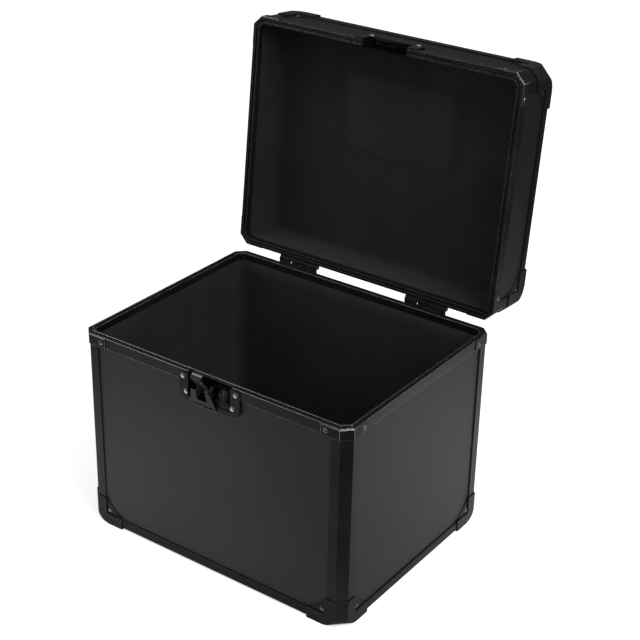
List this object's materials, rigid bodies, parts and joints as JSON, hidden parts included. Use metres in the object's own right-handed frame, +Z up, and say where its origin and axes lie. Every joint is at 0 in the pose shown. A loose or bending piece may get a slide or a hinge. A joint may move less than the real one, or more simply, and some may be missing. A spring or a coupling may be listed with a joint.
{
  "type": "record carrying case",
  "caption": "Upright record carrying case: black panels in metal edge trims, capped corners, open hinged lid, recessed draw latch with key lock, recessed carry handle.",
  "frame": {"origin": "middle of the open case's footprint box, on the surface that the case stands on", "axes": "+Z up, -Y the latch side, +Y the hinge side behind which the open lid leans, +X to the right seen from the latch side"},
  "size_m": [0.3942, 0.4266, 0.5834],
  "materials": {
    "laminate_panel": "black textured laminate on plywood, fine pebble grain, low sheen",
    "edge_trim": "black anodised extrusion, satin",
    "black_hardware": "black powder-coated pressed steel, satin, bright on rivet crowns",
    "bright_steel": "bright nickel-plated steel",
    "lining": "black matt foam-backed lining",
    "grip": "black moulded rubber, matt"
  },
  "bodies": {
    "case_body": {"back_panel": "laminate_panel", "body_lining": "lining", "bottom_cap_back_left": "black_hardware", "bottom_cap_back_right": "black_hardware", "bottom_cap_front_left": "black_hardware", "bottom_cap_front_right": "black_hardware", "bottom_edge_back": "edge_trim", "bottom_edge_front": "edge_trim", "bottom_edge_left": "edge_trim", "bottom_edge_right": "edge_trim", "bottom_panel": "laminate_panel", "corner_trim_back_left": "edge_trim", "corner_trim_back_right": "edge_trim", "corner_trim_front_left": "edge_trim", "corner_trim_front_right": "edge_trim", "front_panel": "laminate_panel", "hinge_body_leaf_left": "black_hardware", "hinge_body_leaf_right": "black_hardware", "latch_base": "black_hardware", "left_panel": "laminate_panel", "right_panel": "laminate_panel", "rim_bracket_back_left": "black_hardware", "rim_bracket_back_right": "black_hardware", "rim_bracket_front_left": "black_hardware", "rim_bracket_front_right": "black_hardware", "rim_frame": "edge_trim"},
    "lid": {"handle_dish": "black_hardware", "hinge_lid_leaf_left": "black_hardware", "hinge_lid_leaf_right": "black_hardware", "lid_back_panel": "laminate_panel", "lid_cap_back_left": "black_hardware", "lid_cap_back_right": "black_hardware", "lid_cap_front_left": "black_hardware", "lid_cap_front_right": "black_hardware", "lid_corner_trim_back_left": "edge_trim", "lid_corner_trim_back_right": "edge_trim", "lid_corner_trim_front_left": "edge_trim", "lid_corner_trim_front_right": "edge_trim", "lid_edge_back": "edge_trim", "lid_edge_front": "edge_trim", "lid_edge_left": "edge_trim", "lid_edge_right": "edge_trim", "lid_front_panel": "laminate_panel", "lid_left_panel": "laminate_panel", "lid_lining": "lining", "lid_right_panel": "laminate_panel", "lid_rim_bracket_back_left": "black_hardware", "lid_rim_bracket_back_right": "black_hardware", "lid_rim_bracket_front_left": "black_hardware", "lid_rim_bracket_front_right": "black_hardware", "lid_rim_frame": "edge_trim", "lid_strike": "black_hardware", "lid_top_panel": "laminate_panel"},
    "latch_lever": {"latch_lever": "black_hardware"},
    "latch_hook": {"latch_hook": "black_hardware", "latch_spring": "bright_steel"},
    "lock_barrel": {"lock_barrel": "black_hardware"},
    "carry_handle": {"handle_bail": "black_hardware", "handle_grip": "grip"}
  },
  "joints": [
    {"name": "lid_hinge", "type": "hinge", "parent": "case_body", "child": "lid", "pos_m": [0, 0.11228, 0.2742], "axis": [1, 0, 0], "range_deg": [0, 96]},
    {"name": "latch_lever_pivot", "type": "hinge", "parent": "case_body", "child": "latch_lever", "pos_m": [-0.005, -0.19272, 0.2542], "axis": [-1, 0, 0], "range_deg": [0, 80]},
    {"name": "latch_hook_swing", "type": "hinge", "parent": "latch_lever", "child": "latch_hook", "pos_m": [-0.005, -0.19172, 0.2457], "axis": [1, 0, 0], "range_deg": [0, 80]},
    {"name": "lock_turn", "type": "hinge", "parent": "case_body", "child": "lock_barrel", "pos_m": [0.0205, -0.19322, 0.2522], "axis": [0, -0.9225, 0.3859], "range_deg": [0, 90]},
    {"name": "handle_swing", "type": "hinge", "parent": "lid", "child": "carry_handle", "pos_m": [0, 0.19594, 0.49517], "axis": [1, 0, 0], "range_deg": [0, 90], "stiffness_Nm_per_rad": 0.3, "springref_deg": -17.19}
  ],
  "couplings": [
    {"joint": "latch_hook_swing", "follows": "latch_lever_pivot", "ratio": 1}
  ]
}
